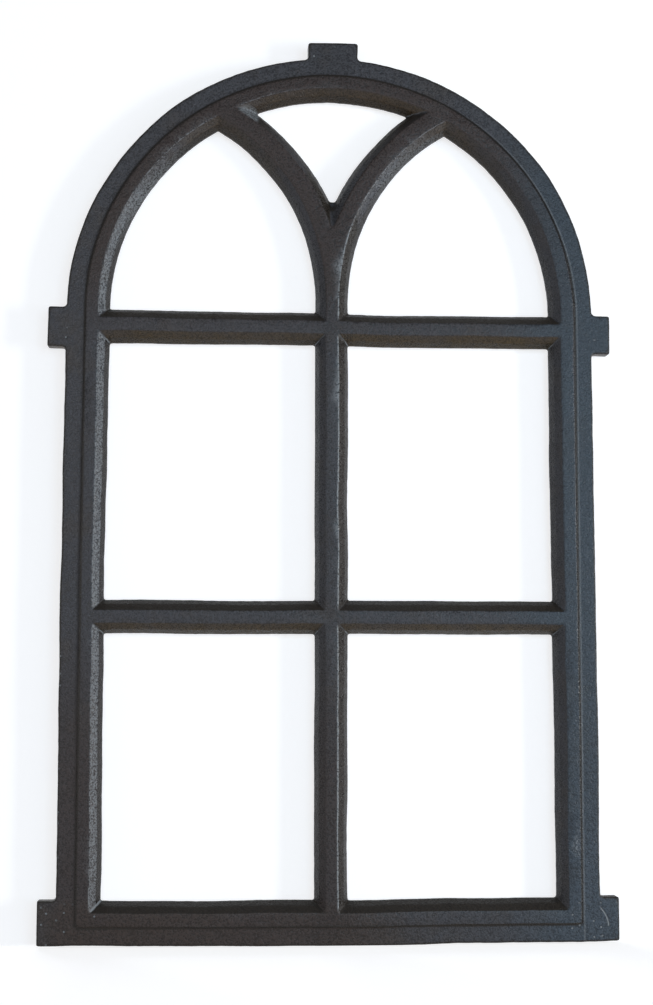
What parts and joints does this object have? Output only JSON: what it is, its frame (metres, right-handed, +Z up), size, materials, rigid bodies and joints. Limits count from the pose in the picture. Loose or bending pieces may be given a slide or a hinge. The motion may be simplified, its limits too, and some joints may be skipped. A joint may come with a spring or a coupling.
{
  "type": "arched cast-iron barn window frame",
  "caption": "Unglazed cast-iron barn window frame: a half-round arch with gothic tracery over square panes, moulded bars, and lugs for walling in.",
  "frame": {"origin": "on the underside of the sill rail, in the middle of its length and of the frame's depth", "axes": "+X to the right seen from the moulded face, +Y towards the back, +Z up"},
  "size_m": [0.5004, 0.02, 0.7976],
  "materials": {
    "cast_iron": "rough sand-cast iron, dark grey-brown, dull"
  },
  "bodies": {
    "root": {"window_frame": "cast_iron"}
  },
  "joints": []
}
